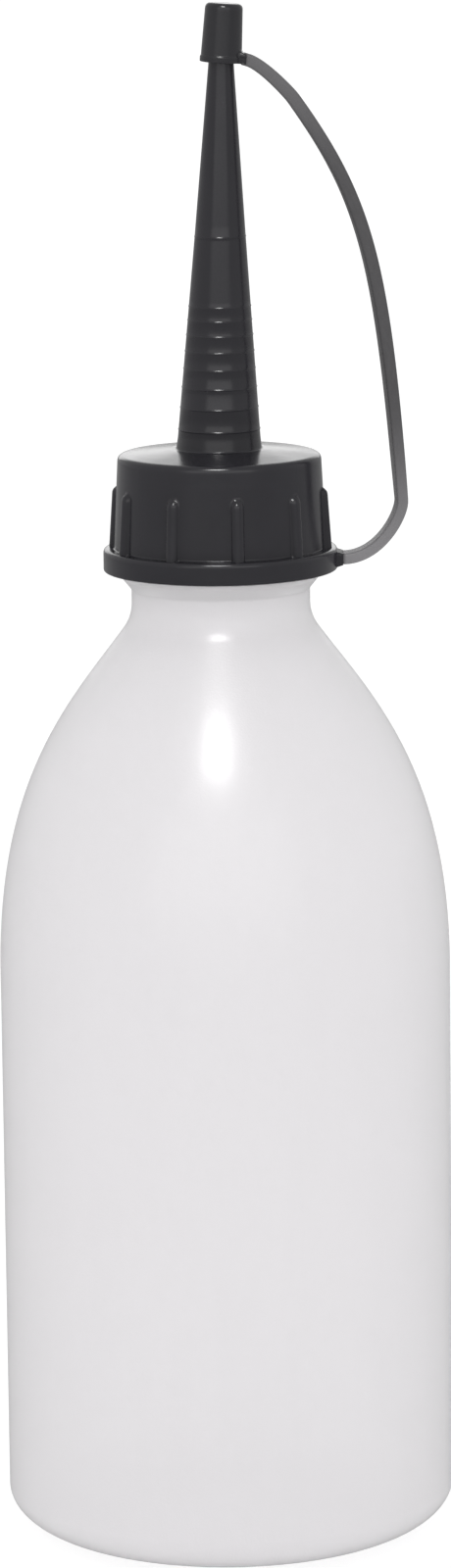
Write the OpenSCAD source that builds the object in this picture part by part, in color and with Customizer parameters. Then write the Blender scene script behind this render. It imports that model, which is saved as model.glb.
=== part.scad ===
// Squeeze oiler: blown bottle, ribbed screw cap with a long spout, and a tip cap on a strap.
// Millimetres. The origin is the centre of the foot, +Z is up, and the strap is on the +X side.

/* [Bottle] */
// Outer diameter of the body
body_d = 75; // [68:0.5:84]
// Wall of the blown shell
wall = 1.1; // [0.8:0.1:1.6]
// Height at which the straight body turns into the shoulder
shoulder_z = 95.5; // [80:0.1:110]
// Height of the shoulder up to the fillet of the neck
shoulder_h = 57.3; // [50:0.1:70]
// Slope of the shoulder's upper end, from the vertical
shoulder_angle = 36.25; // [34:0.25:42]
// Outer radius of the ring that the bottle stands on
foot_r = 25.8; // [23:0.1:28]
// Width of that ring
foot_w = 4; // [3:0.5:5]
// Height of the rounded edge between foot and body
foot_corner_h = 6.9; // [6:0.1:10]
// Rise of the foot's middle above the surface
push_up = 2; // [1:0.1:3]

/* [Neck] */
// Outer diameter of the bare neck below the ring bead
neck_d = 29.5; // [29.2:0.1:30.5]
// Radius of the hollow between shoulder and neck
neck_fillet = 7.4; // [5:0.1:8]
// Bare stretch of the neck below the bead
neck_h = 2.3; // [1.5:0.1:4]
// Outer diameter of the ring bead under the cap
bead_d = 32.4; // [31.5:0.1:33]
// Height of the bead's sloping underside
bead_slope_h = 1.8; // [1.2:0.1:2.5]
// Height of the bead's upright edge
bead_h = 0.9; // [0.6:0.1:1.4]
// Height of the threaded mouth above the bead
finish_h = 17; // [15.5:0.1:20]
// Bore of the neck
neck_bore_d = 25.2; // [23:0.1:25.6]

/* [Thread] */
// Diameter over the bottle's thread
thread_d = 30; // [29.6:0.1:30.4]
// Radial height of the thread
thread_h = 1.05; // [0.8:0.05:1.2]
// Climb in one turn
thread_pitch = 4; // [3.6:0.1:4.5]
// Turns that bottle and cap engage
thread_turns = 1.75; // [1:0.25:2]
// Axial width of a thread at its foot
thread_foot_w = 2; // [1.6:0.1:2.1]
// Axial width of a thread at its crest
thread_crest_w = 0.9; // [0.6:0.1:1.1]
// Radial clearance between bottle and cap
thread_clearance = 0.2; // [0.15:0.05:0.3]
// Clearance between the flanks that bear on each other
flank_clearance = 0.15; // [0.1:0.05:0.3]
// Height of the thread's lowest turn above the bead
thread_start = 7.3; // [6:0.1:8]

/* [Screw cap] */
// How far the flange stands out of the skirt's foot
flange_ledge = 1.8; // [1.2:0.1:3]
// Height of the flange
flange_h = 3.7; // [3:0.1:5]
// Gap between the bottle's bead and the flange
flange_gap = 0.4; // [0.3:0.1:1]
// Wall of the skirt round the thread, where it meets the flange
skirt_foot_wall = 2.3; // [2:0.1:3]
// Wall of the skirt below its rounded edge
skirt_top_wall = 1.55; // [1.2:0.05:1.9]
// Radius of the rounded edge round the deck
deck_edge_r = 1; // [0.6:0.1:1.4]
// Thickness of the deck at its edge
deck_t = 1.5; // [1.2:0.1:2]
// Rise of the deck from its edge to the spout
deck_crown = 0.9; // [0.4:0.1:1.2]
// Number of grip ribs
rib_count = 10; // [6:1:14]
// Width of a rib
rib_w = 2.2; // [2.1:0.1:2.6]
// How far a rib stands out of the skirt at the flange
rib_proud = 1.05; // [0.9:0.05:1.2]
// How far it stands out at its top
rib_top_proud = 0.85; // [0.6:0.05:0.9]
// Distance from the rib's rounded top to the deck's edge
rib_drop = 5.4; // [3:0.1:8]
// Turn of the first rib, from the front towards the strap
rib_angle = 9.5; // [0:0.5:36]

/* [Sealing washer] */
// Thickness of the washer
washer_t = 1; // [0.8:0.1:1.5]
// Hole of the washer
washer_hole_d = 24.8; // [23:0.1:25.2]

/* [Spout] */
// Length of the spout above the deck
spout_h = 71.4; // [60:0.1:80]
// Diameter of the spout at its root
spout_root_d = 13.9; // [12:0.1:14]
// Hollow between deck and spout
spout_fillet = 0.9; // [0.4:0.1:1.5]
// Height of the mould line above the deck
mould_line_z = 35; // [30:0.5:40]
// Diameter of the spout at the mould line
mould_line_d = 8.38; // [7.8:0.02:8.8]
// Diameter of the spout's end
spout_tip_d = 2.9; // [2.4:0.1:3]
// Wall of the spout at its root
spout_wall = 1.2; // [1:0.1:1.5]
// Bore at the spout's end
spout_tip_bore_d = 1.3; // [0.8:0.1:1.5]
// Lean of the spout towards the strap that pulls it
spout_lean = 0.95; // [0:0.05:1.5]
// Number of cutting rings
ring_count = 8; // [3:1:9]
// Distance from the mould line down to the first cutting ring
ring_start = 11.4; // [8:0.1:12]
// Distance between the first two cutting rings
ring_pitch = 2.27; // [1.8:0.01:2.3]
// Growth of that distance from ring to ring
ring_growth = 1.08; // [1:0.01:1.08]
// How far rings and mould line stand out
ring_proud = 0.09; // [0.05:0.01:0.15]
// Width of rings and mould line
ring_w = 0.4; // [0.3:0.05:0.6]

/* [Tip cap] */
// Height of the tip cap
tip_cap_h = 9.6; // [9:0.1:12]
// Diameter at its rim
tip_cap_rim_d = 7; // [6.6:0.1:8]
// Diameter below its rounded top
tip_cap_top_d = 6.1; // [5.6:0.1:6.4]
// Radius of its rounded top edge
tip_cap_edge_r = 0.9; // [0.5:0.1:1.1]
// Height of the raised rim
tip_cap_rim_h = 0.9; // [0.6:0.1:1.2]
// How far that rim stands out
tip_cap_rim_proud = 0.15; // [0.05:0.05:0.2]
// Thickness of its top
tip_cap_top_t = 1.2; // [1:0.1:1.6]
// Clearance round the spout at the rim
tip_cap_clearance = 0.15; // [0.12:0.01:0.2]
// Clearance above the spout's end
tip_cap_seat = 0.3; // [0.2:0.05:0.4]
// Bore at the closed end
tip_cap_inner_d = 4; // [3.9:0.1:4.2]
// Tilt of the tip cap towards the strap
tip_cap_tilt = 3.7; // [1:0.1:4]

/* [Strap] */
// Thickness of the strap where it leaves the flange
strap_root_t = 1.9; // [1.4:0.1:2.2]
// Thickness in its upper bow
strap_t = 2.3; // [1.6:0.1:2.6]
// Thickness where it joins the tip cap
strap_end_t = 2.05; // [1.4:0.05:2.2]
// Width of the strap
strap_w = 4.6; // [3.6:0.1:5.4]
// Width where it joins the tip cap
strap_end_w = 3.6; // [2.8:0.1:4]
// Farthest reach of the strap's middle line from the bottle's axis
strap_reach = 29.9; // [27:0.1:34]
// Height of that farthest point above the flange's underside
strap_knee_z = 11.25; // [9:0.05:14]
// Slope of the strap at that point, from the vertical
strap_knee_angle = 4.3; // [0:0.1:8]
// Height of the strap's root above the flange's underside
strap_root_z = 1.65; // [1.5:0.05:2]
// Distance from the tip cap's axis at which the strap bends over to it
strap_crook_x = 11.6; // [8:0.1:14]
// Depth of that bend below the tip cap's rim
strap_crook_drop = 5.9; // [4:0.1:8]
// Slope of the strap at that bend, from the horizontal
strap_crook_angle = 54.8; // [45:0.1:65]
// Slope at which the strap runs into the tip cap
strap_end_angle = 12.8; // [8:0.1:30]
// Height of the strap's end above the tip cap's rim
strap_end_z = 0.7; // [0.5:0.05:1.2]
// Twist of the strap in its upright stretch
strap_twist = 7.3; // [0:0.1:15]
// Twist of the strap at the tip cap
strap_end_twist = 2.2; // [-8:0.1:8]
// How far the strap's lug stands out of the flange
flange_lug = 0.95; // [0.6:0.05:1.5]
// How far the strap's lug stands out of the tip cap
tip_cap_lug = 0.6; // [0.4:0.05:1]

/* [Hidden] */
$fn = 96;

// Heights that follow from the sizes above.
body_r = body_d / 2;
neck_r = neck_d / 2;
shoulder_end_r = neck_r + neck_fillet * (1 - cos(shoulder_angle));
shoulder_end_z = shoulder_z + shoulder_h;
neck_z = shoulder_end_z + neck_fillet * sin(shoulder_angle);
bead_z = neck_z + neck_h;
bead_top_z = bead_z + bead_slope_h + bead_h;
mouth_z = bead_top_z + finish_h;
finish_r = thread_d / 2 - thread_h;
cap_z = bead_top_z + flange_gap;
deck_under_z = mouth_z + washer_t;
deck_edge_z = deck_under_z + deck_t;
deck_z = deck_edge_z + deck_crown;
cap_bore_r = thread_d / 2 + thread_clearance;
flange_top_z = cap_z + flange_h;
skirt_foot_r = cap_bore_r + skirt_foot_wall;
skirt_top_r = cap_bore_r + skirt_top_wall;
flange_r = skirt_foot_r + flange_ledge;

// Shape of curves: number of steps, and how full each curve is.
arc_steps = 8;
shoulder_steps = 26;
shoulder_low_pull = 0.573;
shoulder_high_pull = 0.261;
mouth_edge = 0.4;
thread_steps = 36;
thread_sink = 0.4;
thread_fade = 4;

// A point at t on the cubic curve with the control points p.
function cubic(p, t) = (1 - t) ^ 3 * p[0] + 3 * (1 - t) ^ 2 * t * p[1]
    + 3 * (1 - t) * t ^ 2 * p[2] + t ^ 3 * p[3];

// Direction of that curve at t, of unit length.
function cubic_dir(p, t) = unit((1 - t) ^ 2 * (p[1] - p[0])
    + 2 * (1 - t) * t * (p[2] - p[1]) + t ^ 2 * (p[3] - p[2]));

function unit(v) = v / norm(v);
function ease(t) = let (u = min(1, max(0, t))) u * u * (3 - 2 * u);

// An elliptical arc about c with the radii rx and ry, from angle a to angle b.
function arc(c, rx, ry, a, b, steps = arc_steps) =
    [for (i = [0:steps]) let (w = a + (b - a) * i / steps) c + [rx * cos(w), ry * sin(w)]];

// The points of a path moved by t to the left of its direction of travel.
function moved_left(p, t) = [for (i = [0:len(p) - 1])
    let (d = unit(p[min(i + 1, len(p) - 1)] - p[max(i - 1, 0)])) p[i] + t * [-d[1], d[0]]];

// Outline of the blown shell, from the middle of the foot to the neck.
foot_inner_r = foot_r - foot_w;
dome = [for (i = [0:arc_steps]) let (r = foot_inner_r * i / arc_steps)
    [r, push_up * (1 - (r / foot_inner_r) ^ 2)]];
foot_corner = arc([foot_r, foot_corner_h], body_r - foot_r, foot_corner_h, -90, 0, 12);
shoulder_line = [[body_r, shoulder_z], [body_r, shoulder_z + shoulder_low_pull * shoulder_h],
    [shoulder_end_r, shoulder_end_z]
        + shoulder_high_pull * shoulder_h * [sin(shoulder_angle), -cos(shoulder_angle)],
    [shoulder_end_r, shoulder_end_z]];
shoulder = [for (i = [0:shoulder_steps]) cubic(shoulder_line, i / shoulder_steps)];
neck_hollow = arc([neck_r + neck_fillet, neck_z], neck_fillet, neck_fillet,
    180 + shoulder_angle, 180);
shell = concat(dome, foot_corner, shoulder, [for (i = [1:arc_steps]) neck_hollow[i]]);
bore_r = neck_bore_d / 2;
inner_shell = moved_left(shell, wall);

// Helical ridge. It climbs anticlockwise, its foot lies sunk in the wall at wall_r, and it fades at
// both ends. side is 1 for a ridge on the outside of a neck and -1 for one inside a cap.
module helical_ridge(wall_r, height, side) {
    count = round(thread_turns * thread_steps);
    points = [for (i = [0:count])
        let (turn = 360 * i / thread_steps,
            full = min(1, (i + 0.5) / thread_fade, (count - i + 0.5) / thread_fade),
            z = thread_pitch * i / thread_steps,
            foot = wall_r - side * thread_sink,
            crest = wall_r + side * height * full,
            half_foot = thread_foot_w / 2 + thread_sink * flank_slope(height),
            half_crest = thread_foot_w / 2 - height * full * flank_slope(height))
        for (corner = [[foot, -half_foot], [crest, -half_crest], [crest, half_crest], [foot, half_foot]])
            [corner[0] * cos(turn), corner[0] * sin(turn), z + corner[1]]];
    skin = [for (i = [0:count - 1]) for (j = [0:3])
        let (a = 4 * i + j, b = 4 * i + (j + 1) % 4)
        for (face = [[a, b, b + 4], [a, b + 4, a + 4]]) outward(face, side)];
    ends = [outward([3, 2, 1, 0], side), outward([for (j = [0:3]) 4 * count + j], side)];
    polyhedron(points, concat(skin, ends), convexity = 6);
}

function flank_slope(height) = (thread_foot_w - thread_crest_w) / 2 / height;
function outward(face, side) = side > 0 ? face : [for (i = [len(face) - 1:-1:0]) face[i]];

// Both threads lie on one helix: the cap's bears on the underside of the bottle's.
thread_z = bead_top_z + thread_start;
cap_thread_z = thread_z - (thread_foot_w + thread_crest_w) / 2 - flank_clearance;

// Blown bottle: hollow shell, ring bead and threaded mouth.
module bottle() {
    color([0.90, 0.89, 0.91, 0.75]) union() {
        rotate_extrude() polygon(concat(shell, [
            [neck_r, bead_z],
            [bead_d / 2, bead_z + bead_slope_h],
            [bead_d / 2, bead_top_z],
            [finish_r, bead_top_z],
            [finish_r, mouth_z - mouth_edge],
            [finish_r - mouth_edge, mouth_z],
            [bore_r, mouth_z],
            [bore_r, bead_top_z],
            [neck_r - wall, neck_z]],
            [for (i = [len(inner_shell) - 2:-1:0]) inner_shell[i]]));
        translate([0, 0, thread_z]) helical_ridge(finish_r, thread_h, 1);
    }
}

// Flat ring on the bottle's mouth, under the deck.
module sealing_washer() {
    color([0.85, 0.85, 0.83]) translate([0, 0, mouth_z]) difference() {
        cylinder(h = washer_t, r = cap_bore_r - thread_clearance);
        translate([0, 0, -1]) cylinder(h = washer_t + 2, d = washer_hole_d);
    }
}

// Places its children on the spout's own axis, with z counted from the deck.
module on_spout() {
    translate([0, 0, deck_z]) rotate([0, spout_lean, 0]) children();
}

// Radius of the spout's outside and of its bore at the height z above the deck.
function spout_r(z) = z < mould_line_z
    ? spout_root_d / 2 + (mould_line_d - spout_root_d) / 2 * z / mould_line_z
    : mould_line_d / 2 + (spout_tip_d - mould_line_d) / 2 * (z - mould_line_z) / (spout_h - mould_line_z);
spout_bore_root_r = spout_root_d / 2 - spout_wall;
spout_bore_slope = (spout_bore_root_r - spout_tip_bore_d / 2) / spout_h;

// Height of cutting ring i: the distances grow downwards from the mould line.
function ring_z(i) = i == 0 ? mould_line_z - ring_start : ring_z(i - 1) - ring_pitch * ring_growth ^ (i - 1);

function ridge_profile(z) = [[spout_r(z - ring_w / 2), z - ring_w / 2], [spout_r(z) + ring_proud, z],
    [spout_r(z + ring_w / 2), z + ring_w / 2]];

// Long tapered spout with its root hollow, cutting rings and mould line. It starts below the deck.
module spout() {
    rotate_extrude() polygon(concat(
        [[0, -deck_t], [spout_root_d / 2, -deck_t], [spout_root_d / 2 + spout_fillet / 3, 0],
            [spout_r(spout_fillet), spout_fillet]],
        [for (i = [ring_count - 1:-1:0]) each ridge_profile(ring_z(i))],
        ridge_profile(mould_line_z),
        [[spout_tip_d / 2, spout_h], [0, spout_h]]));
}

// One grip rib: a round bar along the skirt, with a domed top.
rib_sink = 1;
rib_top_z = deck_edge_z - rib_drop;
skirt_slope = (skirt_foot_r - skirt_top_r) / (deck_edge_z - deck_edge_r - flange_top_z);
module rib() {
    height = rib_top_z - flange_top_z;
    foot_axis_r = skirt_foot_r + rib_proud - rib_w / 2;
    top_axis_r = skirt_foot_r - skirt_slope * height + rib_top_proud - rib_w / 2;
    translate([foot_axis_r, 0, flange_top_z]) rotate([0, atan2(top_axis_r - foot_axis_r, height), 0])
        rotate_extrude($fn = 24) polygon(concat(
            [[0, -rib_sink], [rib_w / 2, -rib_sink]],
            arc([0, height - rib_w / 2], rib_w / 2, rib_w / 2, 0, 90, 4)));
}

// Lug on the flange from which the strap grows.
lug_margin = 0.3;
strap_root_x = flange_r + flange_lug;
module flange_lug_block() {
    inner_x = flange_r - flange_ledge;
    height = strap_root_t + 2 * lug_margin;
    width = strap_w + 2 * lug_margin;
    translate([inner_x, -width / 2, cap_z + strap_root_z - height / 2])
        cube([strap_root_x - inner_x, width, height]);
}

// Flange, ribbed skirt, deck, lug and spout in one moulding, with the thread inside.
module screw_cap() {
    flange_edge = 0.8;
    foot_edge = 0.3;
    color([0.13, 0.13, 0.14]) union() {
        difference() {
            union() {
                rotate_extrude() polygon(concat(
                    [[0, cap_z], [flange_r - foot_edge, cap_z], [flange_r, cap_z + foot_edge]],
                    arc([flange_r - flange_edge, flange_top_z - flange_edge],
                        flange_edge, flange_edge, 0, 90, 6),
                    [[skirt_foot_r, flange_top_z]],
                    arc([skirt_top_r - deck_edge_r, deck_edge_z - deck_edge_r],
                        deck_edge_r, deck_edge_r, 0, 90, 6),
                    [[spout_root_d / 2 + spout_fillet, deck_z], [0, deck_z]]));
                for (i = [0:rib_count - 1])
                    rotate([0, 0, -90 + rib_angle + 360 * i / rib_count]) rib();
                flange_lug_block();
                on_spout() spout();
            }
            translate([0, 0, cap_z - 1]) cylinder(h = deck_under_z - cap_z + 1, r = cap_bore_r);
            on_spout() translate([0, 0, deck_under_z - deck_z - 1])
                cylinder(h = spout_h + deck_z - deck_under_z + 2,
                    r1 = spout_bore_root_r + (deck_z - deck_under_z + 1) * spout_bore_slope,
                    r2 = spout_tip_bore_d / 2 - spout_bore_slope);
        }
        translate([0, 0, cap_thread_z]) helical_ridge(cap_bore_r, thread_h, -1);
    }
}

// The tip cap's rim lies on the spout's axis, and its tilt is about the middle of the rim.
tip_cap_depth = tip_cap_h - tip_cap_top_t;
tip_cap_rim_z = spout_h + tip_cap_seat - tip_cap_depth;
tip_cap_rim_bore_r = spout_r(tip_cap_rim_z) + tip_cap_clearance;
tip_cap_rim_at = [tip_cap_rim_z * sin(spout_lean), deck_z + tip_cap_rim_z * cos(spout_lean)];
tip_lug_at = tip_cap_rim_at + (tip_cap_rim_d / 2) * [cos(tip_cap_tilt), -sin(tip_cap_tilt)]
    + strap_end_z * [sin(tip_cap_tilt), cos(tip_cap_tilt)];
strap_end_dir = [-cos(strap_end_angle), sin(strap_end_angle)];
strap_end_at = tip_lug_at - tip_cap_lug * strap_end_dir;

// Small cap that closes the spout, with the lug that the strap runs into.
module tip_cap() {
    rim_r = tip_cap_rim_d / 2;
    rim_slope_h = 0.3;
    top_r = tip_cap_top_d / 2;
    lug_in = 0.9;
    lug_height = strap_end_t + lug_margin;
    lug_width = strap_end_w + lug_margin;
    color([0.13, 0.13, 0.14]) difference() {
        union() {
            translate([tip_cap_rim_at[0], 0, tip_cap_rim_at[1]]) rotate([0, tip_cap_tilt, 0])
                rotate_extrude() polygon(concat(
                    [[0, 0], [rim_r, 0], [rim_r, tip_cap_rim_h],
                        [rim_r - tip_cap_rim_proud, tip_cap_rim_h + rim_slope_h]],
                    arc([top_r - tip_cap_edge_r, tip_cap_h - tip_cap_edge_r],
                        tip_cap_edge_r, tip_cap_edge_r, 0, 90, 6),
                    [[0, tip_cap_h]]));
            translate([strap_end_at[0], 0, strap_end_at[1]]) rotate([0, strap_end_angle, 0])
                translate([-tip_cap_lug - lug_in, -lug_width / 2, -lug_height / 2])
                    cube([tip_cap_lug + lug_in, lug_width, lug_height]);
        }
        translate([tip_cap_rim_at[0], 0, tip_cap_rim_at[1]]) rotate([0, tip_cap_tilt, 0])
            translate([0, 0, -1]) cylinder(h = tip_cap_depth + 1,
                r1 = tip_cap_rim_bore_r + (tip_cap_rim_bore_r - tip_cap_inner_d / 2) / tip_cap_depth,
                r2 = tip_cap_inner_d / 2);
    }
}

// Middle line of the strap: out of the flange, round a tight knee, up in a long bow, and over the crook
// to the tip cap. Three cubic curves that meet without a kink.
strap_root_at = [strap_root_x, cap_z + strap_root_z];
strap_knee_at = [strap_reach, cap_z + strap_knee_z];
strap_knee_dir = [-sin(strap_knee_angle), cos(strap_knee_angle)];
strap_crook_at = tip_cap_rim_at + [strap_crook_x, -strap_crook_drop];
strap_crook_dir = [-cos(strap_crook_angle), sin(strap_crook_angle)];
knee_low_pull = 0.64;
knee_high_pull = 0.24;
bow_low_pull = 0.6;
bow_high_pull = 0.307;
crook_low_pull = 0.07;
crook_high_pull = 0.266;
bow_h = strap_crook_at[1] - strap_knee_at[1];
crook_l = norm(strap_end_at - strap_crook_at);
knee_line = [strap_root_at, strap_root_at + [knee_low_pull * (strap_reach - strap_root_x), 0],
    strap_knee_at - knee_high_pull * (strap_knee_z - strap_root_z) * strap_knee_dir, strap_knee_at];
bow_line = [strap_knee_at, strap_knee_at + bow_low_pull * bow_h * strap_knee_dir,
    strap_crook_at - bow_high_pull * bow_h * strap_crook_dir, strap_crook_at];
crook_line = [strap_crook_at, strap_crook_at + crook_low_pull * crook_l * strap_crook_dir,
    strap_end_at - crook_high_pull * crook_l * strap_end_dir, strap_end_at];
strap_lines = [knee_line, bow_line, crook_line];
strap_steps = [14, 30, 10];
strap_shares = [0, 0.15, 0.89, 1];

// The strap's rings: for each its point, its direction and its share of the strap's length.
strap_rings = [for (k = [0:2]) for (i = [(k == 0 ? 0 : 1):strap_steps[k]])
    let (t = i / strap_steps[k])
    [cubic(strap_lines[k], t), cubic_dir(strap_lines[k], t),
        strap_shares[k] + (strap_shares[k + 1] - strap_shares[k]) * t]];

// Corners of the strap's section, as shares of half its thickness and half its width.
strap_corner = 0.35;
strap_section = [[-1, -1], [1, -1], [1, 1], [-1, 1]];

module tether_strap() {
    points = [for (ring = strap_rings)
        let (at = ring[0], dir = ring[1], share = ring[2],
            twist = strap_twist * ease(4 * share)
                + (strap_end_twist - strap_twist) * ease((share - 0.35) / 0.6),
            full_t = strap_root_t + (strap_t - strap_root_t) * ease(share / 0.7),
            half_t = (full_t + (strap_end_t - full_t) * ease((share - 0.86) / 0.14)) / 2,
            half_w = (strap_w + (strap_end_w - strap_w) * ease(3 * share - 2)) / 2,
            out = [dir[1], 0, -dir[0]])
        for (c = strap_section)
            for (cut = c[0] * c[1] > 0 ? [[0, 1], [1, 0]] : [[1, 0], [0, 1]])
                let (u = c[0] * (half_t - cut[0] * strap_corner), w = c[1] * (half_w - cut[1] * strap_corner),
                    flat = u * cos(twist) - w * sin(twist), deep = u * sin(twist) + w * cos(twist))
                [at[0], 0, at[1]] + flat * out + [0, deep, 0]];
    sides = 8;
    last = sides * (len(strap_rings) - 1);
    skin = [for (i = [0:len(strap_rings) - 2]) for (j = [0:sides - 1])
        let (a = sides * i + j, b = sides * i + (j + 1) % sides)
        for (face = [[a, b, b + sides], [a, b + sides, a + sides]]) face];
    ends = [[for (j = [sides - 1:-1:0]) j], [for (j = [0:sides - 1]) last + j]];
    color([0.32, 0.32, 0.33]) polyhedron(points, concat(skin, ends), convexity = 6);
}

bottle();
sealing_washer();
screw_cap();
tether_strap();
tip_cap();
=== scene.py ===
# %% [markdown]
# A squeeze oiler, dressed in Blender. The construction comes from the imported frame: its boxes say where each
# piece lies. This file gives the pieces their finished surfaces, their plastics and the studio.
# Lengths are written in millimetres, as a drawing has them, and turned into metres when a mesh is made.

# %% frame and tools
import math

import bpy
import numpy as np
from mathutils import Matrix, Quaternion, Vector


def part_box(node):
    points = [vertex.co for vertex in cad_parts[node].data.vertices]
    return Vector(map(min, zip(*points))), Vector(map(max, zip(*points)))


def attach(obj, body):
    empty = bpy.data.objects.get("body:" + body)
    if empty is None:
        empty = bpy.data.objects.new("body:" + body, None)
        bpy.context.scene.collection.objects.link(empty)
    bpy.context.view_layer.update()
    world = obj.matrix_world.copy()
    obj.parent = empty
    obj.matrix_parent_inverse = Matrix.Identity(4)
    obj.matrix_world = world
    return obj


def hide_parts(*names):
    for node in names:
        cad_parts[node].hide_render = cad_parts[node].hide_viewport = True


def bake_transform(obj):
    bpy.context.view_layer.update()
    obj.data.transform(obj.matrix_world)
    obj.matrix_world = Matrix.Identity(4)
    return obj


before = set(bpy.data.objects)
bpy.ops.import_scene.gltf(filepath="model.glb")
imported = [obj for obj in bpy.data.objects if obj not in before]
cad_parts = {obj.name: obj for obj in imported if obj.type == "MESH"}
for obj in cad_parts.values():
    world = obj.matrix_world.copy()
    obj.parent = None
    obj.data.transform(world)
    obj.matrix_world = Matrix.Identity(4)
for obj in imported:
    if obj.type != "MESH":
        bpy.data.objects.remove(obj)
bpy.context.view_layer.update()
MM = 0.001
print("nodes:", sorted(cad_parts))

# %% [markdown]
# The photograph looks down on the bottle by about eleven degrees from one metre away, through a long lens.
# The camera could be placed by eye, but the ellipses of the cap and the foot fix it: their heights against
# their widths give the tilt, and the taper of the body gives the distance. It rolls a little to the left.

# %% camera
CAMERA_AT = Vector((0.82, -1031.34, 320.89)) * MM
CAMERA_AIM = Vector((0.40, 0, 126.39)) * MM
CAMERA_ROLL = -0.01176
LENS_MM = 145.05


def make_camera():
    """A camera at CAMERA_AT that looks at CAMERA_AIM and is then turned about its own view line."""
    data = bpy.data.cameras.new("studio_camera")
    data.lens = LENS_MM
    data.clip_start = 0.05
    data.clip_end = 50
    camera = bpy.data.objects.new("studio_camera", data)
    bpy.context.scene.collection.objects.link(camera)
    camera.location = CAMERA_AT
    camera.rotation_mode = "QUATERNION"
    level = (CAMERA_AIM - CAMERA_AT).to_track_quat("-Z", "Y")
    camera.rotation_quaternion = level @ Quaternion((0, 0, 1), CAMERA_ROLL)
    bpy.context.scene.camera = camera
    return camera


camera = make_camera()
print("camera distance in mm:", round((CAMERA_AT - CAMERA_AIM).length / MM))

# %% [markdown]
# Two small helpers build every shader. A node is placed with its constants, and a link joins two sockets.
# Writing them once keeps each material down to what it says about the plastic.


# %% shader helpers
def put(tree, kind, name="", **values):
    """A new node of that kind; values go to attributes, or to the input sockets of that name."""
    node = tree.nodes.new(kind)
    node.name = name or node.name
    for key, value in values.items():
        if hasattr(node, key):
            setattr(node, key, value)
        else:
            node.inputs[key.replace("_", " ")].default_value = value
    return node


def join(tree, source, target):
    """A link from one socket to another."""
    tree.links.new(source, target)


def empty_material(name):
    """A material with no nodes but its output."""
    material = bpy.data.materials.new(name)
    material.use_nodes = True
    material.node_tree.nodes.clear()
    return material, material.node_tree


# %% [markdown]
# The studio is a white table that runs out of sight, and white air. The light on the object is plain and
# nearly as strong as white, so each plastic comes out about as its colour is written. Gloss is arranged apart
# from that: reflections see a darker table and air, and three panels that only reflections see. The panels
# make the two highlights on the bottle, the light band on the spout and the bright deck of the cap.

# %% studio
LIGHT_AIM = Vector((0, 0, 0.14))
AIR_LIGHT = 1.0
AIR_IN_GLOSS = 0.5
AIR_THROUGH = 1.0
TABLE_HALF = 6.0
TABLE_DROP = 0.03 * MM
TABLE_WHITE = 0.32
TABLE_IN_GLOSS = 0.38
TABLE_GLOW = 0.62
TABLE_GLOW_SEEN = 0.78


def chosen(tree, flag, other, value):
    """The value where the flag is one, and the other number or socket where it is nought."""
    mix = put(tree, "ShaderNodeMix", data_type="FLOAT")
    mix.inputs["B"].default_value = value
    if isinstance(other, float):
        mix.inputs["A"].default_value = other
    else:
        join(tree, other, mix.inputs["A"])
    join(tree, flag, mix.inputs["Factor"])
    return mix.outputs["Result"]


def make_air():
    """White air: strength one for the camera, AIR_IN_GLOSS in reflections, AIR_THROUGH where it is seen
    through the bottle, and AIR_LIGHT for all else. A blurred ray through a wall counts as glossy too, so the
    choice for transmission comes after the one for gloss."""
    world = bpy.data.worlds.new("white_air")
    world.use_nodes = True
    tree = world.node_tree
    tree.nodes.clear()
    path = put(tree, "ShaderNodeLightPath")
    strength = chosen(tree, path.outputs["Is Glossy Ray"], AIR_LIGHT, AIR_IN_GLOSS)
    strength = chosen(tree, path.outputs["Is Transmission Ray"], strength, AIR_THROUGH)
    strength = chosen(tree, path.outputs["Is Camera Ray"], strength, 1.0)
    air = put(tree, "ShaderNodeBackground", Color=(1, 1, 1, 1))
    out = put(tree, "ShaderNodeOutputWorld")
    join(tree, strength, air.inputs["Strength"])
    join(tree, air.outputs[0], out.inputs["Surface"])
    bpy.context.scene.world = world


def table_material():
    """An opal table lit from below: most of its white is its own glow, so the foot isn't dark. It keeps the
    object's shadow, glows a little more where the camera sees it, and is a plain grey in reflections."""
    material, tree = empty_material("table_white")
    path = put(tree, "ShaderNodeLightPath")
    body = put(tree, "ShaderNodeBsdfDiffuse")
    colour = chosen(tree, path.outputs["Is Glossy Ray"], TABLE_WHITE, TABLE_IN_GLOSS)
    join(tree, chosen(tree, path.outputs["Is Transmission Ray"], colour, TABLE_WHITE), body.inputs["Color"])
    strength = chosen(tree, path.outputs["Is Glossy Ray"], TABLE_GLOW, 0.0)
    strength = chosen(tree, path.outputs["Is Transmission Ray"], strength, TABLE_GLOW)
    strength = chosen(tree, path.outputs["Is Camera Ray"], strength, TABLE_GLOW_SEEN)
    glow = put(tree, "ShaderNodeEmission", Color=(1, 1, 1, 1))
    both = put(tree, "ShaderNodeAddShader")
    out = put(tree, "ShaderNodeOutputMaterial")
    join(tree, strength, glow.inputs["Strength"])
    join(tree, body.outputs[0], both.inputs[0])
    join(tree, glow.outputs[0], both.inputs[1])
    join(tree, both.outputs[0], out.inputs["Surface"])
    return material


def make_table():
    """A square of TABLE_HALF metres each way, just under the foot."""
    corners = TABLE_HALF * np.array([[-1, -1, 0], [1, -1, 0], [1, 1, 0], [-1, 1, 0]], float)
    corners[:, 2] = -TABLE_DROP
    mesh = bpy.data.meshes.new("table")
    mesh.from_pydata(corners.tolist(), [], [(0, 1, 2, 3)])
    table = bpy.data.objects.new("table", mesh)
    bpy.context.scene.collection.objects.link(table)
    mesh.materials.append(table_material())


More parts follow.
